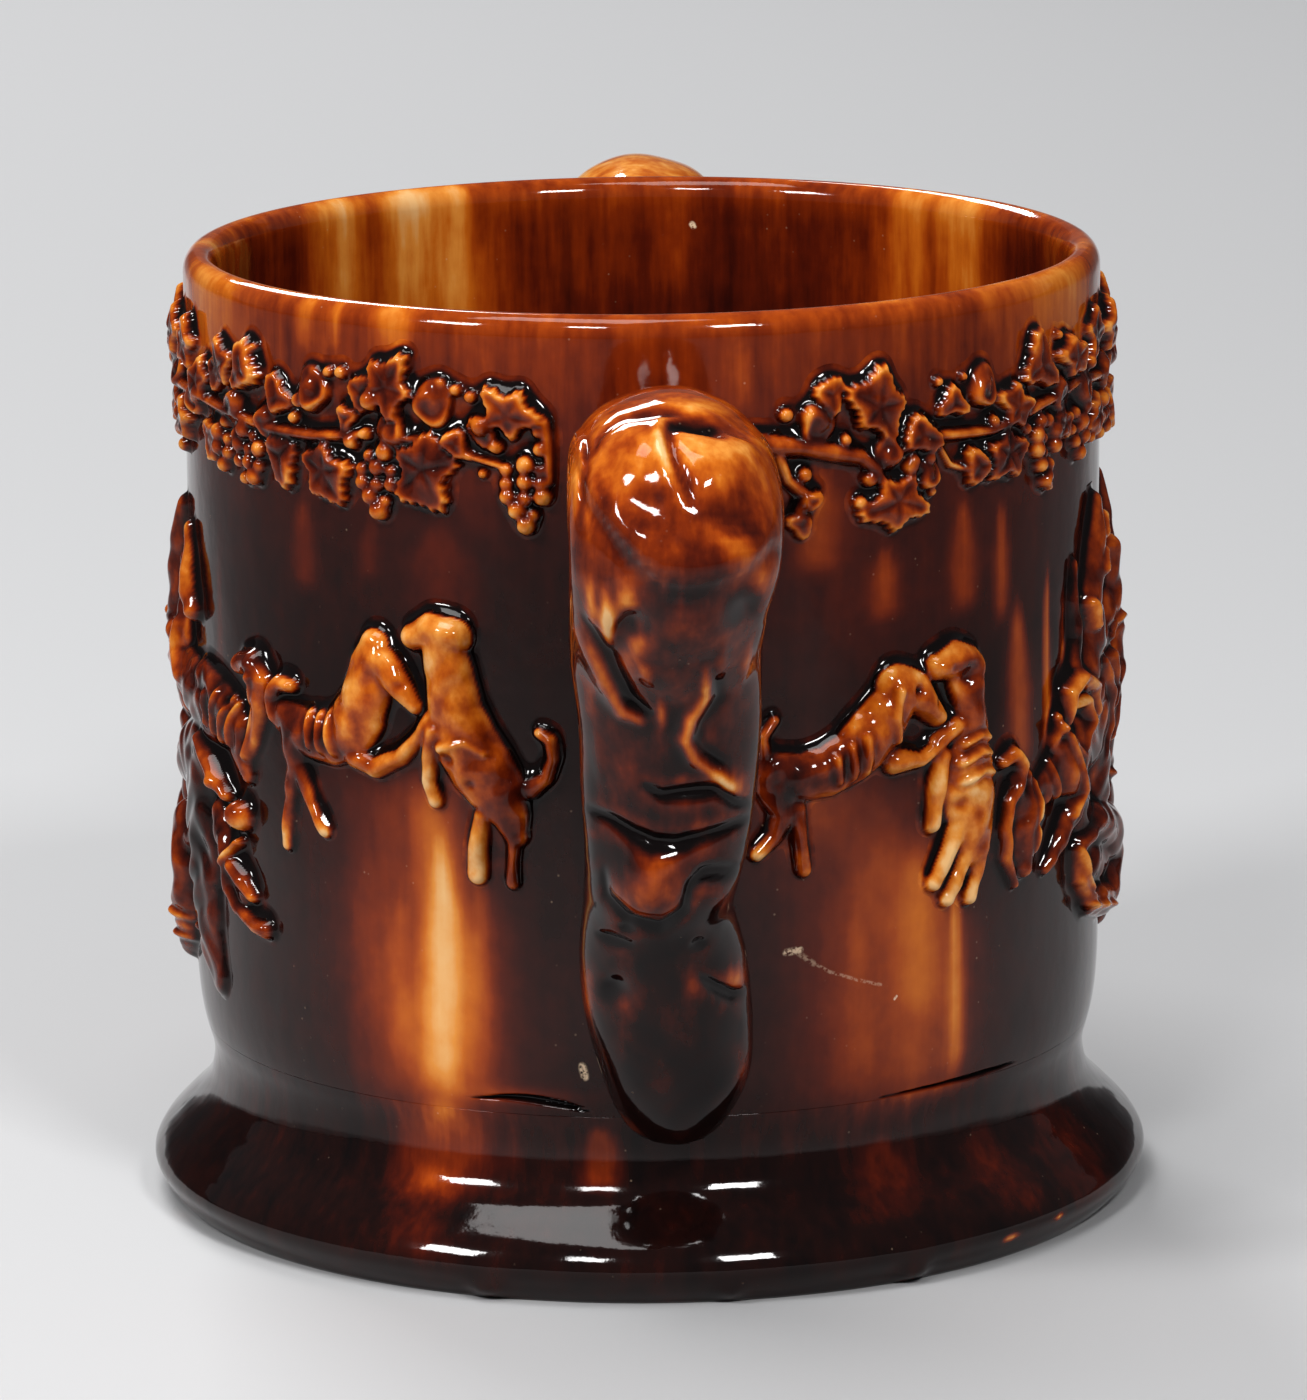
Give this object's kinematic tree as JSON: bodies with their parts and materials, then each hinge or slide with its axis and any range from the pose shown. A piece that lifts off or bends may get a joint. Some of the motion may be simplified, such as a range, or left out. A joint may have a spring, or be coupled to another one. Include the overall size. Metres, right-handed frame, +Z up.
{
  "type": "loving cup",
  "caption": "Straight-sided glazed pottery cup on a moulded foot, with a sculpted handle on two opposite sides and vine and hunting reliefs round the wall.",
  "frame": {"origin": "on the table, at the middle of the round foot", "axes": "+Z up through the mouth; -Y towards the near handle, +Y towards the far one; +X to the right seen from the near handle"},
  "size_m": [0.2092, 0.3444, 0.1988],
  "materials": {
    "body_glaze": "treacle-brown lead glaze, glossy, red-brown at the rim and near black low down",
    "foot_glaze": "thick glossy glaze, almost black, with amber and red streaks",
    "handle_glaze": "glossy glaze, amber on the rounded top and dark brown below",
    "vine_glaze": "glossy glaze, tan on the high points and black where it pools",
    "figure_glaze": "glossy glaze, tan and amber on the high points and black where it pools"
  },
  "bodies": {
    "root": {"cup_body": "body_glaze", "foot": "foot_glaze", "handle_near": "handle_glaze", "handle_far": "handle_glaze", "vine_left_front": "vine_glaze", "vine_left_back": "vine_glaze", "vine_right_front": "vine_glaze", "vine_right_back": "vine_glaze", "hounds_left_front": "figure_glaze", "hounds_left_back": "figure_glaze", "hounds_right_front": "figure_glaze", "hounds_right_back": "figure_glaze", "chase_left_front": "figure_glaze", "chase_left_back": "figure_glaze", "chase_right_front": "figure_glaze", "chase_right_back": "figure_glaze"}
  },
  "joints": []
}
